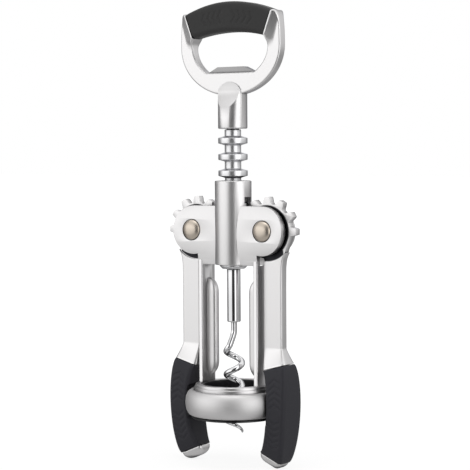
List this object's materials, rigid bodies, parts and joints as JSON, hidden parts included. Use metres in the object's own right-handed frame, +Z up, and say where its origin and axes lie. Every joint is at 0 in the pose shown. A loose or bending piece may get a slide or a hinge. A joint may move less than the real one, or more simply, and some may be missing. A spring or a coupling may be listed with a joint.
{
  "type": "wing corkscrew",
  "caption": "Wing corkscrew: geared wings drive a ringed rack shaft with a helical worm, under a ring handle with a bottle-opener lip, in a frame with a round bell.",
  "frame": {"origin": "centre of the seat inside the bell that rests on the bottle's lip, on the worm's axis", "axes": "+Z up along the worm's axis to the handle, the wings swing out to +X and -X, and the front with the domed pin heads faces -Y"},
  "size_m": [0.0654, 0.042, 0.1967],
  "materials": {
    "satin_nickel": "satin",
    "polished_chrome": "polished",
    "bright_steel": "bright",
    "brushed_brass": "brushed",
    "soft_grip": "matte",
    "black_plastic": "satin",
    "nylon": "matte"
  },
  "bodies": {
    "frame": {"frame_casting": "satin_nickel", "bell_ring": "satin_nickel", "bell_liner": "black_plastic", "right_pivot_pin": "brushed_brass", "left_pivot_pin": "brushed_brass", "right_pivot_washer": "bright_steel", "left_pivot_washer": "bright_steel"},
    "left_wing": {"left_wing_lever": "satin_nickel", "left_wing_grip": "soft_grip"},
    "right_wing": {"right_wing_lever": "satin_nickel", "right_wing_grip": "soft_grip"},
    "shaft_bush": {"guide_bush": "nylon"},
    "spindle": {"rack_shaft": "polished_chrome", "opener_handle": "satin_nickel", "handle_grip": "soft_grip", "worm_holder": "polished_chrome", "worm": "bright_steel", "handle_dowel": "bright_steel", "holder_dowel": "bright_steel"}
  },
  "joints": [
    {"name": "left_wing_hinge", "type": "hinge", "parent": "frame", "child": "left_wing", "pos_m": [-0.0182, 0, 0.0691], "axis": [0, 1, 0], "range_deg": [0, 150]},
    {"name": "right_wing_hinge", "type": "hinge", "parent": "frame", "child": "right_wing", "pos_m": [0.0182, 0, 0.0691], "axis": [0, -1, 0], "range_deg": [0, 150]},
    {"name": "shaft_spin", "type": "hinge", "parent": "frame", "child": "shaft_bush", "pos_m": [0, 0, 0.0876], "axis": [0, 0, 1], "continuous": true},
    {"name": "rack_slide", "type": "slide", "parent": "shaft_bush", "child": "spindle", "axis": [0, 0, -1], "range_m": [0, 0.0347]}
  ],
  "couplings": [
    {"joint": "right_wing_hinge", "follows": "left_wing_hinge", "ratio": 1},
    {"joint": "rack_slide", "follows": "left_wing_hinge", "m_per_rad": 0.013216}
  ]
}
